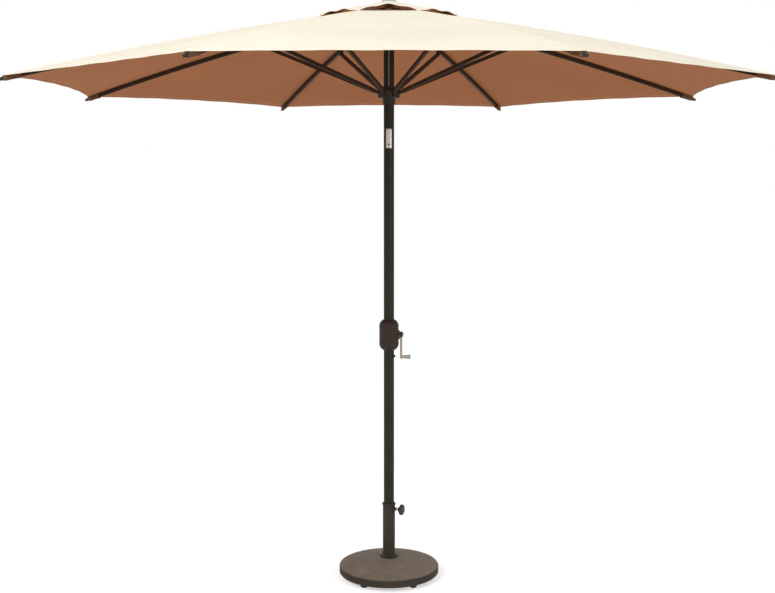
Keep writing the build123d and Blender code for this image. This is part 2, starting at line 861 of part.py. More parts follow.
def top_hub():
    """Notched hub on the pole's top, with a post for the vent cap and a stud for the finial."""
    socket = pole_radius + seat_fit
    wall = socket + hub_socket_wall
    low = hub_pivot_height - hub_below_pivot
    high = hub_pivot_height + hub_above_pivot
    body = lathe(
        (0, upper_pole_top),
        (socket, upper_pole_top),
        (socket, upper_pole_top - hub_socket_depth),
        (wall, upper_pole_top - hub_socket_depth),
        (wall, low - 4),
        (wall + 4, low),
        (hub_radius, low),
        (hub_radius, high - 4),
        (hub_radius - 4, high),
        (hub_post_radius + 8, high + 3),
        (hub_post_radius, high + 14),
        (hub_post_radius, hub_post_top),
        (stud_diameter / 2, hub_post_top),
        (stud_diameter / 2, hub_post_top + stud_length),
        (0, hub_post_top + stud_length),
    )
    slot_half = rib_width / 2 + moving_gap
    slot_start = hub_pivot_radius - rib_height / 2 - 2
    slot = block(slot_start, hub_radius + 5, -slot_half, slot_half, low - 10, high + 10)
    pin_hole = hub_pin()
    for azimuth in rib_azimuths:
        body -= turned(slot, azimuth)
        body -= turned(pin_hole, azimuth)
    return body


def hub_pin():
    reach = hub_pin_length / 2
    start = (hub_pivot_radius, -reach, hub_pivot_height)
    return rod(hub_pin_diameter / 2, start, (hub_pivot_radius, reach, hub_pivot_height))


def hub_pins():
    return group(*around(hub_pin(), rib_azimuths))


def finial():
    """Low bell-shaped cap that screws onto the hub's stud and clamps the vent cap."""
    low = hub_post_top + 2 * vent_seat_gap + canopy_thickness
    bore = stud_diameter / 2
    base = finial_diameter / 2
    crown = finial_top_diameter / 2
    return lathe(
        (bore, low),
        (base - 2, low),
        (base, low + 2),
        (base - 3, low + 5),
        (crown + 5, low + finial_height * 0.75),
        (crown, low + finial_height * 0.95),
        (crown - 6, low + finial_height),
        (0, low + finial_height),
        (0, hub_post_top + stud_length),
        (bore, hub_post_top + stud_length),
    )


def rib_band(height):
    """Side face of the rib line with a round inner end, in the plane of the rib."""
    reach = height / 2
    outline = []
    near = hub_pivot_radius
    far = rib_end_radius
    ends = [(near, reach), (far, reach), (far, -reach), (near, -reach)]
    corners = [rib_point(r, offset) for r, offset in ends]
    middle = (hub_pivot_radius + rib_end_radius) / 2
    top = rib_point(middle, reach)
    bottom = rib_point(middle, -reach)
    turn = math.radians(arc_angle(hub_pivot_radius))
    back = (hub_pivot_radius - reach * math.cos(turn), hub_pivot_height + reach * math.sin(turn))
    outline.append(ThreePointArc(corners[0], top, corners[1]))
    outline.append(Line(corners[1], corners[2]))
    outline.append(ThreePointArc(corners[2], bottom, corners[3]))
    outline.append(ThreePointArc(corners[3], back, corners[0]))
    return Plane.XZ * make_face(outline)


def rib():
    """Bowed rectangular tube from its hub pin to the tip cap."""
    outer = extrude(rib_band(rib_height), rib_width / 2, both=True)
    inner = extrude(rib_band(rib_height - 2 * rib_wall), rib_width / 2 - rib_wall, both=True)
    pin_hole = rod(
        hub_pin_diameter / 2 + running_fit,
        (hub_pivot_radius, -rib_width, hub_pivot_height),
        (hub_pivot_radius, rib_width, hub_pivot_height),
    )
    return outer - inner - pin_hole


def rib_fittings():
    """Strut bracket, strut pin and tip cap of one rib."""
    pivot_r, pivot_z = strut_pivot
    ear_gap = strut_tongue_width / 2 + moving_gap
    ear = rib_width / 2 - ear_gap
    frame = Pos(pivot_r, 0, pivot_z) * Rot(0, arc_angle(bracket_radius), 0)
    plate_low = bracket_drop - rib_height / 2 - bracket_plate - running_fit
    half = bracket_length / 2
    plate = block(-half, half, -rib_width / 2, rib_width / 2, plate_low, plate_low + bracket_plate)
    eye = strut_tongue_height / 2 + 1
    cheek = Polyline((-half, plate_low), (half, plate_low), (eye, -eye), (-eye, -eye), close=True)
    sides = extrude(Plane.XZ * make_face(cheek), rib_width / 2, both=True)
    gap = block(-half - 1, half + 1, -ear_gap, ear_gap, -eye - 1, plate_low)
    pin_hole = rod(strut_pin_diameter / 2, (0, -rib_width, 0), (0, rib_width, 0))
    bracket = frame * (plate + sides - gap - pin_hole)
    pin_end = rib_width / 2 + ear / 2
    pin = frame * rod(strut_pin_diameter / 2, (0, -pin_end, 0), (0, pin_end, 0))
    return group(bracket, pin, tip_cap())


def tip_cap():
    """Plastic cap with a plug in the rib's end and a nose for the canopy pocket."""
    end_r, end_z = rib_point(rib_end_radius)
    frame = Pos(end_r, 0, end_z) * Rot(0, arc_angle(rib_end_radius), 0)
    core_h = rib_height - 2 * rib_wall - 2 * seat_fit
    core_w = rib_width - 2 * rib_wall - 2 * seat_fit
    plug = block(-tip_cap_plug, 0, -core_w / 2, core_w / 2, -core_h / 2, core_h / 2)
    nose_h = rib_height + 2 * tip_cap_wall - canopy_lift
    section = Plane.YZ * RectangleRounded(rib_width + 2 * tip_cap_wall, nose_h, 4)
    tip = Plane.YZ.offset(tip_cap_length) * RectangleRounded(rib_width * 0.7, nose_h * 0.55, 3)
    nose = Pos(0, 0, rib_height / 2 - nose_h / 2) * loft([section, tip])
    return frame * (plug + nose)


def strut():
    """Rectangular tube from the runner to the rib bracket, with flat tongues at both ends."""
    pivot_r, pivot_z = strut_pivot
    start = (runner_pivot_radius, runner_pivot_height)
    length = math.hypot(pivot_r - start[0], pivot_z - start[1])
    rise = math.degrees(math.atan2(pivot_z - start[1], pivot_r - start[0]))
    reach = strut_tongue_height / 2
    half_w = strut_width / 2
    half_h = strut_height / 2
    tube_end = length - strut_outer_tongue
    body = block(strut_inner_tongue, tube_end, -half_w, half_w, -half_h, half_h)
    core_w = half_w - strut_wall
    core_h = half_h - strut_wall
    hollow = block(strut_inner_tongue + 8, tube_end - 8, -core_w, core_w, -core_h, core_h)
    flat = Plane.XZ * Pos(length / 2, 0) * SlotCenterToCenter(length, strut_tongue_height)
    tongue = extrude(flat, strut_tongue_width / 2, both=True)
    core = block(strut_inner_tongue + 8, tube_end - 8, -half_w, half_w, -half_h, half_h)
    outer_hole = rod(strut_pin_diameter / 2 + running_fit, (length, -reach, 0), (length, reach, 0))
    inner_hole = rod(strut_pin_diameter / 2, (0, -reach, 0), (0, reach, 0))
    bar = (body - hollow) + (tongue - core) - outer_hole - inner_hole
    pin_reach = runner_slot_width / 2 - seat_fit
    pin = rod(strut_pin_diameter / 2, (0, -pin_reach, 0), (0, pin_reach, 0))
    place = Pos(start[0], 0, start[1]) * Rot(0, -rise, 0)
    return group(place * bar, place * pin)


def runner():
    """Sliding runner: sleeve with guide pads, slotted strut ring with lips, and a cord lug."""
    sleeve = tube(runner_radius, runner_bore, runner_bottom, runner_top)
    ring = lathe(
        (runner_bore + 1, runner_ring_bottom - 10),
        (runner_radius, runner_ring_bottom - 10),
        (runner_ring_radius - runner_lip_width - 4, runner_ring_bottom),
        (runner_ring_radius - runner_lip_width, runner_ring_bottom),
        (runner_ring_radius - runner_lip_width, runner_ring_bottom - runner_lip),
        (runner_ring_radius, runner_ring_bottom - runner_lip),
        (runner_ring_radius, runner_ring_top - 3),
        (runner_ring_radius - 3, runner_ring_top),
        (runner_radius + 2, runner_ring_top),
        (runner_radius, runner_ring_top + 4),
        (runner_bore + 1, runner_ring_top + 4),
    )
    lug = rod(runner_lug_radius, (0, cord_fall_y, runner_ring_top - 2), (0, cord_fall_y, runner_top))
    bore = rod(runner_bore, (0, 0, runner_bottom - 1), (0, 0, runner_top + 1))
    body = sleeve + ring + (lug - bore)
    slot = block(
        runner_radius + 1.5, runner_ring_radius + 5, -runner_slot_width / 2, runner_slot_width / 2,
        runner_ring_bottom - 30, runner_ring_top + 1,
    )
    pad = block(
        pole_radius + runner_pad_gap, runner_bore + 1, -runner_pad_width / 2, runner_pad_width / 2,
        runner_bottom + 2, runner_top - 2,
    )
    for azimuth in rib_azimuths:
        body -= turned(slot, azimuth)
        body += turned(pad, azimuth)
    cord_start = (0, cord_fall_y, runner_ring_top)
    cord_hole = rod(cord_diameter / 2 + 0.4, cord_start, (0, cord_fall_y, runner_top + 1))
    return body - cord_hole


def cloth_section(radius, height, rise):
    """Thin section across one panel between two ribs, bowed up or down in the middle."""
    half_turn = math.radians(rib_step / 2)
    x = radius * math.cos(half_turn)
    y = radius * math.sin(half_turn)
    top = height + canopy_thickness
    edges = [
        ThreePointArc((x, -y, height), (x, 0, height + rise), (x, y, height)),
        Line((x, y, height), (x, y, top)),
        ThreePointArc((x, y, top), (x, 0, top + rise), (x, -y, top)),
        Line((x, -y, top), (x, -y, height)),
    ]
    return make_face(edges)


def canopy():
    """Main cover: one sewn panel between each pair of ribs, open at the top for the vent."""
    span = canopy_corner_radius - canopy_opening_radius
    radii = [canopy_opening_radius + span * k / canopy_stations for k in range(canopy_stations + 1)]
    sections = []
    for radius in radii:
        sag = hem_sag * radius / canopy_corner_radius
        sections.append(cloth_section(radius, arc_height(radius, canopy_under), -sag))
    panel = loft(sections, ruled=True)
    half_turn = math.radians(rib_step / 2)
    half_chord = canopy_corner_radius * math.sin(half_turn)
    edge = canopy_corner_radius * math.cos(half_turn)
    scallop_radius = (half_chord ** 2 + hem_scallop ** 2) / (2 * hem_scallop)
    scallop = Pos(edge - hem_scallop + scallop_radius, 0, hub_pivot_height) * Cylinder(
        scallop_radius, hub_pivot_height
    )
    return group(*around(panel - scallop, panel_azimuths))


def vent_cap():
    """Upper cover over the vent opening: seated on the rib seams, arched between them."""
    corner = arc_height(vent_corner_radius, canopy_over) + vent_seat_gap
    crown = hub_post_top + vent_seat_gap
    eye = stud_diameter / 2 + 2
    middle = (vent_flat_radius + vent_corner_radius) / 2
    slope = (crown - corner) / (vent_corner_radius - vent_flat_radius)
    sections = [
        cloth_section(eye, crown, 0.01),
        cloth_section(vent_flat_radius, crown, 0.1),
        cloth_section(middle, crown - slope * (middle - vent_flat_radius), vent_arch * 0.4),
        cloth_section(vent_corner_radius, corner, vent_arch),
    ]
    return group(*around(loft(sections, ruled=True), panel_azimuths))


nodes = {
    "base_weight": base_weight(),
    "base_feet": base_feet(),
    "tube_bolt": tube_bolt(),
    "base_tube": base_tube(),
    "tube_flange": tube_flange(),
    "tube_collar": tube_collar(),
    "clamp_screw": clamp_screw(),
    "clamp_knob": clamp_knob(),
    "lower_pole": lower_pole(),
    "pole_foot_plug": pole_foot_plug(),
    "joint_sleeve": joint_sleeve(),
    "snap_button": snap_button(),
    "mid_pole": mid_pole(),
    "shaft_bushes": shaft_bushes(),
    "crank_shaft": crank_shaft(),
    "cord_drum": cord_drum(),
    "crank_arm": crank_arm(),
    "crank_grip": crank_grip(),
    "lift_cord_lower": lift_cord_lower(),
    "tilt_tongue": tilt_tongue(),
    "tilt_button": tilt_button(),
    "tilt_sleeve": tilt_sleeve(),
    "tilt_pins": tilt_pins(),
    "upper_pole": upper_pole(),
    "pulley": pulley(),
    "pulley_axle": pulley_axle(),
    "lift_cord_upper": lift_cord_upper(),
    "lift_cord_fall": lift_cord_fall(),
    "top_hub": top_hub(),
    "hub_pins": hub_pins(),
    "finial": finial(),
    "runner": runner(),
    "canopy": canopy(),
    "vent_cap": vent_cap(),
}

housing = crank_housing()
nodes["crank_housing_front"] = split(housing, Plane.XZ, keep=Keep.TOP)
nodes["crank_housing_rear"] = split(housing, Plane.XZ, keep=Keep.BOTTOM)

one_rib = rib()
one_set = rib_fittings()
one_strut = strut()
for number, azimuth in enumerate(rib_azimuths, start=1):
    nodes[f"rib_{number}"] = turned(one_rib, azimuth)
    nodes[f"rib_{number}_fittings"] = turned(one_set, azimuth)
    nodes[f"strut_{number}"] = turned(one_strut, azimuth)

os.makedirs("parts", exist_ok=True)
for name, shape in nodes.items():
    export_step(shape, f"parts/{name}.step")
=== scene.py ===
"""Looks of the crank-lift market umbrella: cloth, lift cord, trim, finishes, studio and camera."""

import json
import math
from typing import Callable, NamedTuple

import bmesh
import bpy
from mathutils import Matrix, Vector


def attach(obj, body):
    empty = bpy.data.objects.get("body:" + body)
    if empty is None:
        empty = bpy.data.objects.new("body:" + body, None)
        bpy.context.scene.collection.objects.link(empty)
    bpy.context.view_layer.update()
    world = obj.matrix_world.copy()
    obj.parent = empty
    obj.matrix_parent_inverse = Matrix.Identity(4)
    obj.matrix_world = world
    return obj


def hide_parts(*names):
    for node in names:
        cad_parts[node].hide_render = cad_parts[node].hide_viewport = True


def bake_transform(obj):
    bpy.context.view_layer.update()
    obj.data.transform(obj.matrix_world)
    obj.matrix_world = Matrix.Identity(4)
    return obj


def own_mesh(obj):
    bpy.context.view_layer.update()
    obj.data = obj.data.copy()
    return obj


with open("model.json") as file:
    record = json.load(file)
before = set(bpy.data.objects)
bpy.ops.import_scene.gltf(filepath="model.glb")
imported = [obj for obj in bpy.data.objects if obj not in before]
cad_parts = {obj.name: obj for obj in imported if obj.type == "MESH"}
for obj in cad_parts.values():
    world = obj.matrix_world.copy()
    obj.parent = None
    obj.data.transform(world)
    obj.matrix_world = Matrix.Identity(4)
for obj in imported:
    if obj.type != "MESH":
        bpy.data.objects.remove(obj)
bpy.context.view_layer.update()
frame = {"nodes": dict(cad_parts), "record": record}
nodes = frame["nodes"]
scene = bpy.context.scene

# Ribs, in metres as in the solids; places on a rib are (distance from the pole's axis, height)
RIB_COUNT = 8
STEP = math.tau / RIB_COUNT
HALF = STEP / 2
RIB_AZIMUTHS = [STEP * (k + 0.5) for k in range(RIB_COUNT)]
FRONT = -math.pi / 2
RIB_PIVOT = (0.050, 2.600)
RIB_END = (1.655, 2.252)
RIB_BOW = 0.019
RIB_TOP = 0.0095

# A rib's line is an arc in the upright plane through the pole
RIB_CHORD = math.dist(RIB_PIVOT, RIB_END)
RIB_SLOPE = math.atan2(RIB_PIVOT[1] - RIB_END[1], RIB_END[0] - RIB_PIVOT[0])
ARC_RADIUS = (RIB_CHORD ** 2 / 4 + RIB_BOW ** 2) / (2 * RIB_BOW)
ARC_R = (RIB_PIVOT[0] + RIB_END[0]) / 2 - (ARC_RADIUS - RIB_BOW) * math.sin(RIB_SLOPE)
ARC_Z = (RIB_PIVOT[1] + RIB_END[1]) / 2 - (ARC_RADIUS - RIB_BOW) * math.cos(RIB_SLOPE)

# Cloth; its place across a panel is settled in a few rounds from a first guess
CLOTH = 0.0011
CLOTH_LIFT = 0.0018
STRIP_COLUMNS = 5
FIRST_ACROSS, SETTLING_ROUNDS = 0.9, 5

# Main cover
OPENING = 0.240
CORNER = 1.668
SCALLOP = 0.050
HEM_SAG = 0.006
HEM_WIDTH = 0.028
HEM_PROUD = 0.0006
PUCKER = 0.0010
PUCKER_ACROSS, PUCKER_ALONG, PUCKER_ROUND = 17, 3, 5

# Felled seam: half of its raised section as (distance from the rib's line, height above the cloth)
TAPE_SECTION = [(0.0085, 0.0001), (0.0075, 0.0009), (0.0, 0.0011)]
TAPE_SUNK = -0.0003
TAPE_END = CORNER - 0.003
TAPE_ROWS = 48

# Corner pocket: its section narrows and rises over the last stretch beyond the rib's end
POCKET_START = 1.598
POCKET_END = 1.668
POCKET_WALL = 0.0007
POCKET_HALF, POCKET_NARROWING = 0.0088, 0.0022
POCKET_DEPTH, POCKET_RISE = 0.0122, 0.0062
POCKET_CLOSING = 0.024
POCKET_FLARE = 0.0022
POCKET_SQUARENESS = 0.45
POCKET_CUT = 0.05
POCKET_ROWS, POCKET_SIDES = 14, 16

# Vent cap
VENT_CROWN = 2.6429
VENT_FLAT = 0.034
VENT_SPLIT = 0.100
VENT_CORNER = 0.335
VENT_GAP = 0.0004
VENT_HEM_WIDTH = 0.018
VENT_HEM_PROUD = 0.0005
VENT_ARCH = 0.026
ARCH_GROWTH = 1.3
MEAN_SLACK, SLACK_SWING = 0.78, 0.22
RIPPLE, RIPPLE_ACROSS, RIPPLE_ROUND = 0.14, 8, 3
CROWN_HOLE = 0.008
CROWN_ROWS, CROWN_COLUMNS = 12, 18

# Lift cord; X lies across the upright plane in which it runs
CORD_ACROSS = Vector((1, 0, 0))
CORD_RADIUS = 0.0015
CORD_FRONT = -0.028
CORD_SIDES, CORD_SPACING, HIDDEN_SPACING = 12, 0.004, 0.02
PULLEY = (0.0, -0.014, 2.520)
PULLEY_STEPS = 16
RUNNER_TIE = 2.250
LEAVING_DRUM = (0, 0.013, 1.1371)
BELOW_TILT, ABOVE_TILT = (0, 0, 2.081), (0, 0, 2.083)
WINDING_RADIUS, WINDING_WIDTH = 0.0130, 0.0185
WINDING_TURNS, WINDING_STEPS, WINDING_SIDES = 6, 36, 8

# Crank and housing trim; profiles are (radius, height) pairs, and a screw's radii are shares of its own
CRANK_HEIGHT = 1.128
HUB_FACE = 0.0508
HUB_COVER = [
    (0.0146, 0.0), (0.0146, 0.0092), (0.0138, 0.0112),
    (0.0118, 0.0126), (0.0092, 0.0130), (0.001, 0.0130),
]
HUB_SIDES, HUB_FLUTES, FLUTE_DEPTH = 96, 16, 0.035
CRANK_NUT = [
    (0.0074, 0.0126), (0.0074, 0.0162), (0.0065, 0.0182),
    (0.0045, 0.0197), (0.0020, 0.0204), (0.0005, 0.0205),
]
FASTENER_SIDES = 24
HOUSING_RADIUS = 0.0445
SCREW_ASIDE, SCREW_RISE, SCREW_SUNK = 0.033, 0.030, 0.0004
SCREW_RADIUS = 0.0036
SCREW_DOME = [(1.0, -0.0005), (1.0, 0.0004), (0.86, 0.0013), (0.5, 0.0019), (0.12, 0.0021)]
CROSS_LENGTH, CROSS_WIDTH = 1.15, 0.26
CROSS_DEPTH, CROSS_LEVEL = 0.0020, 0.0019

# Finishes; noise mostly lies within its span, and a Mix node has its colour sockets at these places
NOISE_SPAN = (0.3, 0.7)
MIX_INPUTS, MIX_OUTPUT = (0, 6, 7), 2
MOTTLE = 0.12
PAINT_GRAIN, PAINT_GRAIN_SCALE = 0.00005, 900.0
HOUSING_PARTING = ("Y", 0.0, 0.0004)
POLE_JOINT = ("Z", 1.0, 0.0005)
BRUSH_STRETCH = (900.0, 900.0, 25.0)
YARN = 0.0011
SLUB_STRETCH = (420.0, 9.0, 1.0)
STITCH_ROWS = [("hem", 0.005, "X"), ("hem", 0.024, "X"), ("seam", 0.005, "Y")]
STITCH_PITCH, STITCH_HALF_WIDTH, STITCH_CUTOFF = 0.0048, 0.0006, -0.45
NO_STITCHES = 1.0
BRAID_STRANDS, BRAID_PITCH = 4, 0.006
SHARP_ANGLE = math.radians(40)

# Studio; powers in watts
WHITE = (1, 1, 1, 1)
FLOOR_SIZE = 60
FLOOR_COLOUR = (0.86, 0.86, 0.85, 1)
FLOOR_GLOW = 0.50
SKY_LIGHT, SKY_SHOWN = 0.62, 1.0
LAMP_SIZE = 3.0
LAMPS = {
    "key": dict(place=(-3.5, -6.0, 5.5), target=(0, 0, 1.6), power=250),
    "fill": dict(place=(4.5, -5.0, 2.6), target=(0, 0, 1.4), power=105),
    "top": dict(place=(0.0, -0.8, 6.5), target=(0, 0, 2.4), power=26),
}

# Camera, in metres and degrees, with its lens and sensor in millimetres
CAMERA_PLACE = (0.038, -5.252, 1.865)
CAMERA_PITCH, CAMERA_YAW = 86.7, 0.413
LENS, SENSOR_WIDTH = 53.33, 36
LENS_SHIFT = (-0.0019, -0.0723)
FAR_CLIP = 200


# Node materials

class Shader:
    """A Principled material that is wired up step by step."""

    def __init__(self, name, roughness, metallic=0.0, **sockets):
        self.material = bpy.data.materials.new(name)
        self.material.use_nodes = True
        self.tree = self.material.node_tree
        self.surface = self.tree.nodes["Principled BSDF"]
        sockets = {"Roughness": roughness, "Metallic": metallic, **sockets}
        for socket, value in sockets.items():
            self.surface.inputs[socket.replace("_", " ")].default_value = value

    def feed(self, socket, value):
        """Link an output to a socket, or set the socket to a plain value."""
        if isinstance(value, bpy.types.NodeSocket):
            self.tree.links.new(value, socket)
        else:
            socket.default_value = value

    def link(self, output, socket):
        self.feed(self.surface.inputs[socket], output)

    def node(self, kind, **values):
        """A new node; names that are properties set those, other names feed the inputs of that name."""
        made = self.tree.nodes.new(kind)
        for name, value in values.items():
            if hasattr(made, name):
                setattr(made, name, value)
            else:
                self.feed(made.inputs[name.replace("_", " ")], value)
        return made

    def calc(self, operation, first, second=0.0, third=0.0):
        made = self.node("ShaderNodeMath", operation=operation)
        for socket, value in zip(made.inputs, (first, second, third)):
            self.feed(socket, value)
        return made.outputs[0]

    def place(self):
        return self.node("ShaderNodeTexCoord").outputs["Object"]

    def cut(self):
        """Place in the flat cut of a cloth or along a cord, in metres."""
        return self.node("ShaderNodeUVMap", uv_map="cut").outputs["UV"]

    def stretched(self, vector, scale):
        return self.node("ShaderNodeMapping", Vector=vector, Scale=scale).outputs["Vector"]

    def split(self, vector):
        return self.node("ShaderNodeSeparateXYZ", Vector=vector).outputs

    def noise(self, scale, detail=3.0, vector=None):
        made = self.node("ShaderNodeTexNoise", Scale=scale, Detail=detail, Vector=vector or self.place())
        return made.outputs["Fac"]

    def ramp(self, factor, low, high, start=NOISE_SPAN[0], end=NOISE_SPAN[1]):
        """Colour that runs from low to high as the factor goes from start to end."""
        made = self.node("ShaderNodeValToRGB", Fac=factor)
        first, last = made.color_ramp.elements
        first.position, last.position = start, end
        first.color, last.color = (*low, 1.0), (*high, 1.0)
        return made.outputs["Color"]

    def spread(self, factor, low, high, start=NOISE_SPAN[0], end=NOISE_SPAN[1]):
        """Value that runs from low to high as the factor goes from start to end."""
        made = self.node(
            "ShaderNodeMapRange", Value=factor, From_Min=start, From_Max=end, To_Min=low, To_Max=high
        )
        return made.outputs[0]

    def mix(self, factor, first, second, blend="MIX"):
        made = self.node("ShaderNodeMix", data_type="RGBA", blend_type=blend)
        for place, value in zip(MIX_INPUTS, (factor, first, second)):
            self.feed(made.inputs[place], value)
        return made.outputs[MIX_OUTPUT]

    def tint(self, colour, shades):
        return self.mix(1.0, colour, shades, "MULTIPLY")

    def waves(self, run, length):
        return self.calc("SINE", self.calc("MULTIPLY", run, math.tau / length))

    def near(self, value, level, half):
        """Mask that is 1 where a value is within a distance of a level."""
        off = self.calc("ABSOLUTE", self.calc("SUBTRACT", value, level))
        return self.calc("LESS_THAN", off, half)

    def bump(self, height, distance, strength=1.0):
        made = self.node("ShaderNodeBump", Height=height, Distance=distance, Strength=strength)
        self.link(made.outputs["Normal"], "Normal")


def grey(level):
    return (level, level, level)


def shade(colour, factor):
    return tuple(min(1.0, c * factor) for c in colour)


def moulded(name, colour, roughness, grain=0.00006, grain_scale=1400.0, line=None, **sockets):
    """Plastic or rubber: slow colour drift, fine grain, uneven gloss and a dark line where halves meet."""
    made = Shader(name, roughness, **sockets)
    drift = made.noise(scale=9.0, detail=4.0)
    speck = made.noise(scale=grain_scale, detail=2.0)
    base = made.ramp(drift, shade(colour, 1 - MOTTLE), shade(colour, 1 + MOTTLE))
    base = made.tint(base, made.ramp(speck, grey(0.86), grey(1.12)))
    if line:
        axis, level, half = line
        seam = made.near(made.split(made.place())[axis], level, half)
        base = made.mix(seam, base, (*shade(colour, 0.25), 1.0))
    made.link(base, "Base Color")
    made.link(made.spread(made.noise(scale=60.0), roughness - 0.07, roughness + 0.09), "Roughness")
    made.bump(speck, grain)
    return made.material


def painted(name, colour, roughness, **more):
    """Sprayed paint on metal, with a coarser and shallower grain than a moulding."""
    return moulded(name, colour, roughness, PAINT_GRAIN, PAINT_GRAIN_SCALE, **more)


def weathered_iron(name, colour, faded):
    """Textured paint over a casting: dark on the sides, and paler where it faces up, partly sun-bleached
    paint with dust and partly painted light from above.
    """
    made = Shader(name, roughness=0.7, Specular_IOR_Level=0.25)
    drift = made.noise(scale=14.0, detail=6.0)
    pits = made.noise(scale=420.0, detail=4.0)
    base = made.ramp(drift, shade(colour, 0.8), shade(colour, 1.2))
    # Faces that point up are painted paler: painted light from above, mixed with sun-bleaching and dust in
    # patches.
    facing = made.split(made.node("ShaderNodeNewGeometry").outputs["Normal"])
    lit_top_mask = made.spread(facing["Z"], low=0.0, high=1.0, start=0.45, end=0.97)
    patches = made.spread(made.noise(scale=7.0, detail=5.0), low=0.80, high=1.0)
    lit_top_colour = made.ramp(made.noise(scale=22.0, detail=5.0), shade(faded, 0.86), shade(faded, 1.1))
    dust_and_lit_top = made.mix(made.calc("MULTIPLY", lit_top_mask, patches), base, lit_top_colour)
    grit = made.ramp(pits, grey(0.82), grey(1.14), start=0.35, end=0.65)
    made.link(made.tint(dust_and_lit_top, grit), "Base Color")
    made.link(made.spread(pits, low=0.58, high=0.85), "Roughness")
    made.bump(pits, distance=0.0005)
    return made.material


def brushed(name, colour, roughness):
    """Bare or plated metal with fine lines along Z."""
    made = Shader(name, roughness, metallic=1.0)
    lines = made.noise(scale=1.0, vector=made.stretched(made.place(), BRUSH_STRETCH))
    made.link(made.ramp(lines, shade(colour, 0.82), shade(colour, 1.08)), "Base Color")
    made.link(made.spread(lines, roughness - 0.08, roughness + 0.12), "Roughness")
    made.bump(lines, distance=0.00002)
    return made.material


def woven(name, colour, thread, sheen):
    """Plain-weave canopy cloth, with stitch rows beside the hems and the rib seams."""
    made = Shader(name, roughness=0.85, Sheen_Weight=sheen, Sheen_Roughness=0.5, Specular_IOR_Level=0.1)
    flat = made.cut()
    across = made.split(flat)
    crossing = made.calc("MULTIPLY", made.waves(across["X"], YARN), made.waves(across["Y"], YARN))
    weave = made.calc("MULTIPLY_ADD", crossing, 0.5, 0.5)
    streak = made.noise(scale=1.0, vector=made.stretched(flat, SLUB_STRETCH))
    cloud = made.noise(scale=2.2, detail=4.0)
    base = made.ramp(cloud, shade(colour, 0.95), shade(colour, 1.04))
    base = made.tint(base, made.ramp(streak, grey(0.95), grey(1.03)))
    base = made.tint(base, made.ramp(weave, grey(0.88), grey(1.04), start=0.0, end=1.0))
    sewn = stitches(made, across)
    made.link(made.mix(sewn, base, (*thread, 1.0)), "Base Color")
    relief = made.calc("MULTIPLY_ADD", sewn, 2.0, weave)
    made.bump(relief, distance=0.00018, strength=0.6)
    return made.material


def stitches(made, across):
    """Mask of short stitches in rows at set distances from the hem and from the rib seam."""
    total = 0.0
    for name, distance, along in STITCH_ROWS:
        edge = made.node("ShaderNodeAttribute", attribute_name=name).outputs["Fac"]
        row = made.near(edge, distance, STITCH_HALF_WIDTH)
        beat = made.waves(across[along], STITCH_PITCH)
        stitch = made.calc("MULTIPLY", row, made.calc("GREATER_THAN", beat, STITCH_CUTOFF))
        total = made.calc("MAXIMUM", total, stitch)
    return total


def braided(name, colour):
    """Braided cord: two sets of diagonal strands."""
    made = Shader(name, roughness=0.8, Sheen_Weight=0.2)
    part = made.split(made.cut())
    turn = made.calc("MULTIPLY", part["X"], math.tau * BRAID_STRANDS)
    climb = made.calc("MULTIPLY", part["Y"], math.tau / BRAID_PITCH)
    right = made.calc("SINE", made.calc("ADD", turn, climb))
    left = made.calc("SINE", made.calc("SUBTRACT", turn, climb))
    strands = made.calc("MULTIPLY_ADD", made.calc("MAXIMUM", right, left), 0.5, 0.5)
    made.link(made.ramp(strands, shade(colour, 0.62), shade(colour, 1.05), start=0.2, end=0.9), "Base Color")
    made.bump(strands, distance=0.0004)
    return made.material


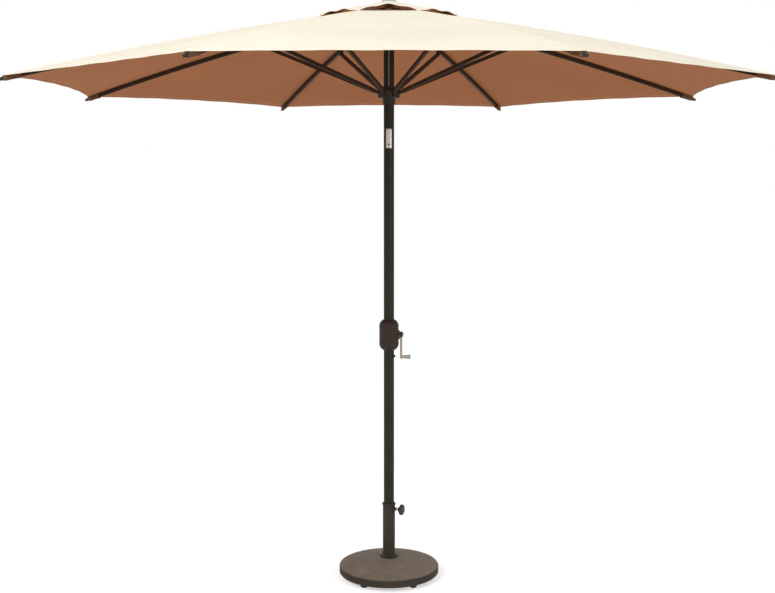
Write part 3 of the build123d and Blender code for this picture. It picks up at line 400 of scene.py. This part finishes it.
FINISHES = {
    # On the base's top the paler colour is partly painted light from above.
    "base_iron": (weathered_iron, dict(colour=(0.034, 0.026, 0.018), faded=(0.193, 0.156, 0.119))),
    "black_rubber": (moulded, dict(colour=(0.020, 0.019, 0.018), roughness=0.8)),
    "zinc_steel": (brushed, dict(colour=(0.62, 0.61, 0.58), roughness=0.34)),
    "bronze_steel": (painted, dict(colour=(0.033, 0.0290, 0.0185), roughness=0.45, Specular_IOR_Level=0.17)),
    "dark_plastic": (moulded, dict(colour=(0.026, 0.022, 0.018), roughness=0.5, Specular_IOR_Level=0.25)),
    "brown_plastic": (
        moulded,
        dict(colour=(0.031, 0.0200, 0.0138), roughness=0.5, line=HOUSING_PARTING, Specular_IOR_Level=0.17),
    ),
    "bronze_aluminium": (
        painted,
        dict(colour=(0.0175, 0.0148, 0.0088), roughness=0.42, line=POLE_JOINT, Specular_IOR_Level=0.17),
    ),
    "cast_silver": (brushed, dict(colour=(0.56, 0.55, 0.52), roughness=0.5)),
    "bronze_casting": (painted, dict(colour=(0.31, 0.25, 0.20), roughness=0.42, Metallic=0.35)),
    "grey_plastic": (moulded, dict(colour=(0.30, 0.32, 0.255), roughness=0.5)),
    "pale_nylon": (moulded, dict(colour=(0.60, 0.57, 0.50), roughness=0.5)),
    "finial_plastic": (moulded, dict(colour=(0.50, 0.50, 0.47), roughness=0.45)),
    "fitting_plastic": (moulded, dict(colour=(0.036, 0.030, 0.027), roughness=0.55, Specular_IOR_Level=0.12)),
    # The hub is painted pale brown: painted light standing in for light through the vent cloth.
    "hub_plastic": (moulded, dict(colour=(0.30, 0.19, 0.13), roughness=0.5, Specular_IOR_Level=0.25)),
    "bronze_rib": (painted, dict(colour=(0.046, 0.027, 0.014), roughness=0.6, Specular_IOR_Level=0.08)),
    "pale_cord": (braided, dict(colour=(0.42, 0.38, 0.31))),
    "cloth_outside": (woven, dict(colour=(0.93, 0.86, 0.71), thread=(0.82, 0.73, 0.56), sheen=0.05)),
    # The underside is the same cloth as the top, painted a darker, redder brown: painted shade and painted
    # light coming through the cloth.
    "cloth_inside": (woven, dict(colour=(0.455, 0.180, 0.080), thread=(0.33, 0.127, 0.055), sheen=0.0)),
    # The pockets are the underside's cloth painted a darker brown: painted shade.
    "cloth_binding": (woven, dict(colour=(0.15, 0.072, 0.038), thread=(0.085, 0.044, 0.025), sheen=0.0)),
}
MATERIALS = {name: make(name, **look) for name, (make, look) in FINISHES.items()}


def finish_solids():
    """Give each solid the finish of its slot; ribs and struts have a finish of their own, and the hub a pale
    brown one, lightened as painted light for the light through the vent cloth.
    """
    for part in frame["record"]["subparts"]:
        node, finish = part["node"], part["material_slot"]
        if finish not in MATERIALS:
            continue
        if finish == "bronze_aluminium" and node.startswith(("rib_", "strut_")):
            finish = "bronze_rib"
        # The hub's pale finish is painted light for the light through the vent cloth.
        if node == "top_hub":
            finish = "hub_plastic"
        shown = nodes[node].data
        shown.materials.clear()
        shown.materials.append(MATERIALS[finish])


# Mesh helpers

def make_piece(name, points, faces, *materials):
    """Smooth-shaded mesh object with sharp edges kept at its corners."""
    mesh = bpy.data.meshes.new(name)
    mesh.from_pydata(points, [], faces)
    mesh.update()
    mesh.polygons.foreach_set("use_smooth", [True] * len(mesh.polygons))
    mesh.set_sharp_from_angle(angle=SHARP_ANGLE)
    for material in materials:
        mesh.materials.append(material)
    made = bpy.data.objects.new(name, mesh)
    scene.collection.objects.link(made)
    return made


def write_cut(mesh, coordinates):
    """UV map of the flat cut, in metres, from one pair per vertex."""
    layer = mesh.uv_layers.new(name="cut")
    for loop in mesh.loops:
        layer.data[loop.index].uv = coordinates[loop.vertex_index]


def write_sewing(mesh, cut, hem, seam):
    """What the cloth's weave and stitches follow: the flat cut and the distances to hem and seam."""
    write_cut(mesh, cut)
    for name, values in (("hem", hem), ("seam", seam)):
        mesh.attributes.new(name, "FLOAT", "POINT").data.foreach_set("value", values)


def ring(start, count):
    return tuple(range(start, start + count))


def tube_faces(rings, sides):
    """Faces of a closed tube through rings of points."""
    faces = []
    for i in range(rings - 1):
        for k in range(sides):
            a, b = i * sides + k, i * sides + (k + 1) % sides
            faces.append((a, b, b + sides, a + sides))
    return [*faces, ring(0, sides)[::-1], ring((rings - 1) * sides, sides)]


def turned(name, profile, place, material, sides=FASTENER_SIDES, flutes=0):
    """Lathe about local Z from (radius, height) pairs, with shallow flutes round it if asked."""
    points = []
    for rim, height in profile:
        for k in range(sides):
            turn = math.tau * k / sides
            radius = rim * (1 - FLUTE_DEPTH * (1 - math.cos(flutes * turn)))
            points.append(place @ Vector((radius * math.cos(turn), radius * math.sin(turn), height)))
    return make_piece(name, points, tube_faces(len(profile), sides), material)


# Cloth surfaces; across runs over a panel from -1 at one rib to 1 at the next

def beside(azimuth, along, side, height):
    """Point at a distance along a direction from the pole, and a distance to the side of it."""
    return (
        along * math.cos(azimuth) - side * math.sin(azimuth),
        along * math.sin(azimuth) + side * math.cos(azimuth),
        height,
    )


def rib_height(radius, offset):
    """Height of the line that runs at an offset above a rib's own line."""
    return ARC_Z + math.sqrt((ARC_RADIUS + offset) ** 2 - (radius - ARC_R) ** 2)


def canopy_height(radius, across, middle):
    """Top of the main cover; radius is taken along the panel's corner line, and middle is its direction."""
    sag = HEM_SAG * radius / CORNER
    wave = math.sin(PUCKER_ACROSS * across + PUCKER_ALONG * radius + PUCKER_ROUND * middle)
    pull = PUCKER * wave * (radius / CORNER) ** 3
    return rib_height(radius, RIB_TOP + CLOTH_LIFT + CLOTH) - (sag + pull) * (1 - across ** 2)


def hem_radius(across):
    """Corner-line radius at which the scalloped hem lies, for a place across the panel."""
    half_chord = CORNER * math.sin(HALF)
    bend = (half_chord ** 2 + SCALLOP ** 2) / (2 * SCALLOP)
    centre = CORNER * math.cos(HALF) - SCALLOP + bend
    square = math.cos(HALF) ** 2 + (across * math.sin(HALF)) ** 2
    middle = centre * math.cos(HALF)
    return (middle - math.sqrt(middle ** 2 - square * (centre ** 2 - bend ** 2))) / square


def looseness(middle):
    """1 for a loose panel of the vent cap and -1 for a tight one; the front panel is loose."""
    return math.cos(RIB_COUNT / 2 * (middle - FRONT))


def vent_height(radius, across, middle):
    """Top of the vent cap, arched up between the ribs towards its hem, with every other panel tighter."""
    corner = rib_height(VENT_CORNER, RIB_TOP + CLOTH_LIFT + 2 * CLOTH) + VENT_GAP
    share = max(0.0, (radius - VENT_FLAT) / (VENT_CORNER - VENT_FLAT))
    crown = VENT_CROWN + CLOTH
    slack = MEAN_SLACK + SLACK_SWING * looseness(middle)
    ripple = RIPPLE * math.sin(RIPPLE_ACROSS * across + RIPPLE_ROUND * middle) * share ** 2
    arch = VENT_ARCH * (slack + ripple) * share ** ARCH_GROWTH * (1 - across ** 2)
    return crown + (corner - crown) * share + arch


class Cloth(NamedTuple):
    """A cloth that is sewn to the ribs: a strip on each rib and a half panel to its left and right.

    The edges give the inner and outer radius at a place across a panel, and strip is the strip's half width.
    loose_keep and tight_keep, the share of its width that a half panel of a loose or tight panel keeps when
    the ribs are shut, are not used.
    """

    label: str
    node: str
    height: Callable
    edges: tuple
    rows: int
    columns: int
    hem_edges: tuple
    hem_rows: int
    hem_above: float
    hem_below: float
    strip: float
    loose_keep: float
    tight_keep: float
    flat: tuple
    area: float


COVER = Cloth(
    label="canopy", node="canopy", height=canopy_height,
    edges=(lambda across: OPENING, hem_radius), rows=40, columns=18,
    hem_edges=(
        lambda across: hem_radius(across) - HEM_WIDTH / math.cos(HALF),
        lambda across: hem_radius(across) + HEM_PROUD,
    ),
    hem_rows=6, hem_above=0.0004, hem_below=CLOTH + 0.0005,
    strip=0.0335, loose_keep=0.060, tight_keep=0.060,
    flat=(0.60, 1.46), area=0.428,
)
VENT = Cloth(
    label="vent", node="vent_cap", height=vent_height,
    edges=(lambda across: VENT_SPLIT, lambda across: VENT_CORNER), rows=16, columns=14,
    hem_edges=(lambda across: VENT_CORNER - VENT_HEM_WIDTH, lambda across: VENT_CORNER + VENT_HEM_PROUD),
    hem_rows=4, hem_above=0.0003, hem_below=CLOTH + 0.0002,
    strip=0.0345, loose_keep=0.13, tight_keep=0.080,
    flat=(0.085, 0.26), area=0.0106,
)


# Cloth pieces

def place_across(part, strip, near, radius):
    """Place across a panel; near runs from 0 at the far edge of the cloth to 1 at its edge by the rib."""
    seam = 1 - strip / (radius * math.sin(HALF) * math.cos(HALF))
    if part == "strip":
        return 1 - (1 - seam) * (1 - near)
    reach = math.sin(math.pi / 2 * near)
    return reach if part == "whole" else seam * reach


def gore_columns(azimuth, part, columns):
    """For each column of a gore: its panel's direction, its side of the panel and its nearness to the rib."""
    first = 0 if part == "right" else -columns
    last = 0 if part == "left" else columns
    found = []
    for j in range(first, last + 1):
        turn = 1 if j > 0 or part == "right" else -1
        found.append((azimuth + turn * HALF, -turn, 1 - abs(j) / columns))
    return found


def settle(part, strip, near, edges, row, rows):
    """Radius, outer radius and place across of a point in a row; the edges depend on the place across."""
    inner, outer = edges
    across = FIRST_ACROSS
    for _ in range(SETTLING_ROUNDS):
        edge, start = outer(across), inner(across)
        radius = start + (edge - start) * row / rows
        across = place_across(part, strip, near, radius)
    return radius, edge, across


def shell_faces(rows, width):
    """Top, underside and rim of a closed shell whose two layers of points are rows by width."""
    layer = width * (rows + 1)
    top, under, rim = [], [], []
    for i in range(rows):
        for j in range(width - 1):
            a = i * width + j
            quad = (a, a + width, a + width + 1, a + 1)
            top.append(quad)
            under.append(tuple(layer + q for q in reversed(quad)))
    for j in range(width - 1):
        a, b = j, rows * width + j
        rim.append((a, a + 1, layer + a + 1, layer + a))
        rim.append((b + 1, b, layer + b, layer + b + 1))
    for i in range(rows):
        a, b = i * width, i * width + width - 1
        rim.append((a + width, a, layer + a, layer + a + width))
        rim.append((b, b + width, layer + b + width, layer + b))
    return top, under, rim


def gore(name, azimuth, height, edges, rows, columns, part="whole", strip=0.0, above=0.0, below=CLOTH):
    """Cloth shell on one rib: whole, from panel middle to panel middle, or only the strip along the rib,
    or the cloth to the left or right of that strip."""
    sides = gore_columns(azimuth, part, columns)
    points, cut, hem, seam = [], [], [], []
    for depth in (above, -below):
        for i in range(rows + 1):
            for middle, turn, near in sides:
                radius, edge, across = settle(part, strip, near, edges, i, rows)
                across *= turn
                side = across * radius * math.sin(HALF)
                level = height(radius, across, middle) + depth
                points.append(beside(middle, radius * math.cos(HALF), side, level))
                cut.append((side, radius))
                hem.append((edge - radius) * math.cos(HALF))
                seam.append((1 - abs(across)) * radius * math.sin(HALF))
    top, under, rim = shell_faces(rows, len(sides))
    # Top faces take the cloth's colour; underside faces take the painted-shade brown.
    made = make_piece(name, points, top + under + rim, MATERIALS["cloth_outside"], MATERIALS["cloth_inside"])
    inside = [0] * len(top) + [1] * len(under) + [0] * len(rim)
    made.data.polygons.foreach_set("material_index", inside)
    write_sewing(made.data, cut, hem, seam)
    return made


def seam_tape(name, azimuth):
    """Felled seam that lies on the main cover along a rib."""
    raised = [(-side, lift) for side, lift in TAPE_SECTION]
    raised += [(side, lift) for side, lift in TAPE_SECTION[-2::-1]]
    profile = raised + [(side, TAPE_SUNK) for side, _ in reversed(raised)]
    points, faces, cut = [], [], []
    for i in range(TAPE_ROWS + 1):
        radius = OPENING + (TAPE_END - OPENING) * i / TAPE_ROWS
        for side, lift in profile:
            corner_line = radius + abs(side) * math.tan(HALF)
            points.append(beside(azimuth, radius, side, canopy_height(corner_line, 1.0, azimuth) + lift))
            cut.append((side, radius))
    width = len(profile)
    for i in range(TAPE_ROWS):
        for j in range(width):
            a, b = i * width + j, i * width + (j + 1) % width
            faces.append((a, a + width, b + width, b))
    faces += [ring(0, width), ring(TAPE_ROWS * width, width)[::-1]]
    made = make_piece(name, points, faces, MATERIALS["cloth_outside"])
    write_sewing(made.data, cut, [NO_STITCHES] * len(points), [abs(side) for side, _ in cut])
    return made


def pocket_section(share, depth):
    """Radius, half width, top and bottom of a pocket's section at a depth in its wall; the last two are
    heights above the rib's line."""
    radius = POCKET_START + (POCKET_END - POCKET_START) * share
    close = max(0.0, (radius - RIB_END[0]) / POCKET_CLOSING)
    flare = POCKET_FLARE * (1 - share) ** 4
    half = POCKET_HALF - POCKET_NARROWING * close + flare - depth
    low = -POCKET_DEPTH + POCKET_RISE * close - flare + depth
    return radius, half, RIB_TOP + CLOTH_LIFT, low


def tip_pocket(name, azimuth):
    """Cloth pocket sewn under a corner of the cover, drawn over the end of the rib."""
    rows, sides = POCKET_ROWS, POCKET_SIDES
    points, faces, cut = [], [], []
    for depth in (0.0, POCKET_WALL):
        for i in range(rows + 1):
            radius, half, top, low = pocket_section(i / rows, depth)
            for k in range(sides + 1):
                turn = math.pi * k / sides
                side = -half * math.copysign(abs(math.cos(turn)) ** POCKET_SQUARENESS, math.cos(turn))
                drop = top + (low - top) * math.sin(turn) ** POCKET_SQUARENESS
                points.append(beside(azimuth, radius, side, rib_height(radius, drop)))
                cut.append((POCKET_CUT * k / sides, radius))
    width = sides + 1
    layer = width * (rows + 1)
    for i in range(rows):
        for k in range(sides):
            a = i * width + k
            faces.append((a, a + 1, a + width + 1, a + width))
            faces.append(tuple(layer + q for q in (a, a + width, a + width + 1, a + 1)))
    for k in range(sides):
        a, b = k, rows * width + k
        faces.append((a, layer + a, layer + a + 1, a + 1))
        faces.append((b, b + 1, layer + b + 1, layer + b))
    for i in range(rows):
        a, b = i * width, i * width + sides
        faces.append((a, a + width, layer + a + width, layer + a))
        faces.append((b, layer + b, layer + b + width, b + width))
    # The pocket is painted darker than the underside: painted shade.
    made = make_piece(name, points, faces, MATERIALS["cloth_binding"])
    write_sewing(made.data, cut, [p[1] - POCKET_START for p in cut], [NO_STITCHES] * len(points))
    return made


def fold_with(piece, number, part):
    """Cloth that swings with its rib; each piece beside the strip on the rib gets a mesh of its own."""
    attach(piece, f"rib_{number}_body")
    if part != "strip":
        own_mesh(piece)


def sew_to_rib(kind, number, azimuth, sewn):
    """One rib's share of a cloth with its hems; the pieces sewn to the rib are collected in sewn but not
    used.
    """
    for part in ("strip", "left", "right"):
        columns = STRIP_COLUMNS if part == "strip" else kind.columns
        cloth = gore(
            f"{kind.label}_{part}_{number}", azimuth, kind.height, kind.edges, kind.rows, columns,
            part, kind.strip,
        )
        hem = gore(
            f"{kind.label}_hem_{part}_{number}", azimuth, kind.height, kind.hem_edges, kind.hem_rows, columns,
            part, kind.strip, kind.hem_above, kind.hem_below,
        )
        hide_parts(kind.node)
        for piece in (cloth, hem):
            fold_with(piece, number, part)
        if part == "strip":
            sewn = [*sewn, cloth, hem]
            continue
        sewn = []


def make_crown(number, azimuth):
    """Crown of the vent cap along one rib, flat over the middle and sloping down beyond it."""
    crown = gore(
        f"vent_crown_{number}", azimuth, vent_height, (lambda across: CROWN_HOLE, lambda across: VENT_SPLIT),
        CROWN_ROWS, CROWN_COLUMNS,
    )
    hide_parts("vent_cap")
    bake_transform(crown)


def make_cloth():
    for number, azimuth in enumerate(RIB_AZIMUTHS, start=1):
        tape = seam_tape(f"canopy_seam_{number}", azimuth)
        pocket = tip_pocket(f"canopy_pocket_{number}", azimuth)
        for piece in (tape, pocket):
            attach(piece, f"rib_{number}_body")
        sew_to_rib(COVER, number, azimuth, [tape, pocket])
        sew_to_rib(VENT, number, azimuth, [])
        make_crown(number, azimuth)


# Lift cord

def sweep_cord(name, rings, sides):
    """Cord through rings, each given by its middle, a direction square to the cord, and the length so far."""
    points, cut = [], []
    for middle, square, run in rings:
        for k in range(sides):
            turn = math.tau * k / sides
            points.append(middle + CORD_RADIUS * (CORD_ACROSS * math.cos(turn) + square * math.sin(turn)))
            cut.append((k / sides, run))
    made = make_piece(name, points, tube_faces(len(rings), sides), MATERIALS["pale_cord"])
    write_cut(made.data, cut)
    return made


def taut_cord(name, line, spacing=CORD_SPACING):
    """Cord that is drawn taut from point to point of a line."""
    path = [Vector(line[0])]
    for start, end in zip(line, line[1:]):
        start, end = Vector(start), Vector(end)
        count = max(1, round((end - start).length / spacing))
        path += [start.lerp(end, k / count) for k in range(1, count + 1)]
    rings = []
    run = 0.0
    for i, point in enumerate(path):
        ahead = path[min(i + 1, len(path) - 1)] - path[max(i - 1, 0)]
        run += (point - path[i - 1]).length if i else 0.0
        rings.append((point, CORD_ACROSS.cross(ahead).normalized(), run))
    return sweep_cord(name, rings, CORD_SIDES)


def wound_cord(name):
    """Turns of cord on the drum."""
    rings = []
    count = WINDING_TURNS * WINDING_STEPS
    for i in range(count + 1):
        turn = math.tau * i / WINDING_STEPS
        across = -WINDING_WIDTH / 2 + WINDING_WIDTH * i / count
        out, up = WINDING_RADIUS * math.cos(turn), WINDING_RADIUS * math.sin(turn)
        point = Vector((across, out, CRANK_HEIGHT + up))
        square = Vector((0, point.y, point.z - CRANK_HEIGHT)).normalized()
        rings.append((point, square, i * math.tau * WINDING_RADIUS / WINDING_STEPS))
    return sweep_cord(name, rings, WINDING_SIDES)


def make_cord():
    x, y, z = PULLEY
    reach = y - CORD_FRONT
    over = []
    for k in range(PULLEY_STEPS + 1):
        turn = math.pi * k / PULLEY_STEPS
        over.append((x, y + reach * math.cos(turn), z + reach * math.sin(turn)))
    upper = taut_cord("cord_over_pulley", [ABOVE_TILT, *over])
    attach(upper, "upper_mast")
    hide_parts("lift_cord_upper")
    fall_start, fall_end = (x, CORD_FRONT, z), (x, CORD_FRONT, RUNNER_TIE)
    fall = taut_cord("cord_fall", [fall_start, fall_end])
    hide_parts("lift_cord_fall")
    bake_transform(fall)
    lower = taut_cord("cord_in_pole", [LEAVING_DRUM, BELOW_TILT], HIDDEN_SPACING)
    wound = wound_cord("cord_on_drum")
    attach(lower, "lower_mast")
    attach(wound, "lower_mast")
    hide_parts("lift_cord_lower")


# Trim and small fasteners

def cut_cross(head, place, radius):
    """Cut the driver's cross into a screw head."""
    cross = bmesh.new()
    for turn in (0, math.pi / 2):
        size = Matrix.Diagonal((radius * CROSS_LENGTH, radius * CROSS_WIDTH, CROSS_DEPTH, 1))
        spot = place @ Matrix.Rotation(turn, 4, "Z") @ Matrix.Translation((0, 0, CROSS_LEVEL)) @ size
        bmesh.ops.create_cube(cross, size=1.0, matrix=spot)
    mesh = bpy.data.meshes.new("cross")
    cross.to_mesh(mesh)
    cross.free()
    cutter = bpy.data.objects.new("cross", mesh)
    scene.collection.objects.link(cutter)
    recess = head.modifiers.new("recess", "BOOLEAN")
    recess.object = cutter
    recess.operation = "DIFFERENCE"
    recess.use_self = True
    shaped = bpy.data.meshes.new_from_object(head.evaluated_get(bpy.context.evaluated_depsgraph_get()))
    head.modifiers.clear()
    head.data = shaped
    shaped.set_sharp_from_angle(angle=SHARP_ANGLE)
    bpy.data.objects.remove(cutter)
    bpy.data.meshes.remove(mesh)


def screw_head(name, place, radius, body):
    """Domed head with a cross recess, along local Z."""
    profile = [(radius * share, height) for share, height in SCREW_DOME]
    made = turned(name, profile, place, MATERIALS["zinc_steel"])
    cut_cross(made, place, radius)
    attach(made, body)


def make_trim():
    hub = Matrix.Translation((HUB_FACE, 0, CRANK_HEIGHT)) @ Matrix.Rotation(math.pi / 2, 4, "Y")
    cover = turned("crank_hub_cover", HUB_COVER, hub, MATERIALS["dark_plastic"], HUB_SIDES, HUB_FLUTES)
    nut = turned("crank_nut", CRANK_NUT, hub, MATERIALS["zinc_steel"])
    for piece, slot in ((cover, "dark_plastic"), (nut, "zinc_steel")):
        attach(piece, "crank")
    reach = math.sqrt(HOUSING_RADIUS ** 2 - SCREW_ASIDE ** 2)
    for side, label in ((-SCREW_ASIDE, "left"), (SCREW_ASIDE, "right")):
        outward = Vector((side, reach, 0)).to_track_quat("Z", "Y").to_matrix().to_4x4()
        for rise, level in ((-SCREW_RISE, "low"), (SCREW_RISE, "high")):
            place = Matrix.Translation((side, reach - SCREW_SUNK, CRANK_HEIGHT + rise))
            screw_head(f"housing_screw_{label}_{level}", place @ outward, SCREW_RADIUS, "lower_mast")


# Studio and camera

def background_rays(tree):
    """Mask of the rays that show the background: the camera's own, mirrored and refracted ones."""
    path = tree.nodes.new("ShaderNodeLightPath")
    total = path.outputs["Is Camera Ray"]
    for kind in ("Is Glossy Ray", "Is Transmission Ray"):
        both = tree.nodes.new("ShaderNodeMath")
        both.operation = "MAXIMUM"
        tree.links.new(total, both.inputs[0])
        tree.links.new(path.outputs[kind], both.inputs[1])
        total = both.outputs[0]
    return total


def make_floor():
    bpy.ops.mesh.primitive_plane_add(size=FLOOR_SIZE, location=(0, 0, 0))
    floor = bpy.context.object
    floor.name = "floor"
    pale = Shader(
        "pale_floor", roughness=0.9, Base_Color=FLOOR_COLOUR, Specular_IOR_Level=0.0, Emission_Color=WHITE
    )
    pale.link(pale.calc("MULTIPLY", background_rays(pale.tree), FLOOR_GLOW), "Emission Strength")
    floor.data.materials.append(pale.material)


def make_world():
    world = bpy.data.worlds.new("studio")
    scene.world = world
    world.use_nodes = True
    tree = world.node_tree
    sky = tree.nodes["Background"]
    sky.inputs["Color"].default_value = WHITE
    strength = tree.nodes.new("ShaderNodeMapRange")
    strength.inputs["To Min"].default_value = SKY_LIGHT
    strength.inputs["To Max"].default_value = SKY_SHOWN
    tree.links.new(background_rays(tree), strength.inputs["Value"])
    tree.links.new(strength.outputs[0], sky.inputs["Strength"])


def make_lamp(name, place, target, power):
    data = bpy.data.lights.new(name, "AREA")
    data.shape = "DISK"
    data.size = LAMP_SIZE
    data.energy = power
    made = bpy.data.objects.new(name, data)
    made.location = place
    made.rotation_mode = "QUATERNION"
    made.rotation_quaternion = (Vector(target) - Vector(place)).to_track_quat("-Z", "Y")
    scene.collection.objects.link(made)


def make_camera():
    camera = bpy.data.cameras.new("camera")
    camera.sensor_fit = "HORIZONTAL"
    camera.sensor_width = SENSOR_WIDTH
    camera.lens = LENS
    camera.shift_x, camera.shift_y = LENS_SHIFT
    camera.clip_end = FAR_CLIP
    view = bpy.data.objects.new("camera", camera)
    view.location = CAMERA_PLACE
    view.rotation_euler = (math.radians(CAMERA_PITCH), 0, math.radians(CAMERA_YAW))
    scene.collection.objects.link(view)
    scene.camera = view
    scene.view_settings.view_transform = "Standard"


finish_solids()
make_floor()
make_world()
for lamp_name, lamp in LAMPS.items():
    make_lamp(lamp_name, **lamp)
make_camera()
make_cloth()
make_cord()
make_trim()
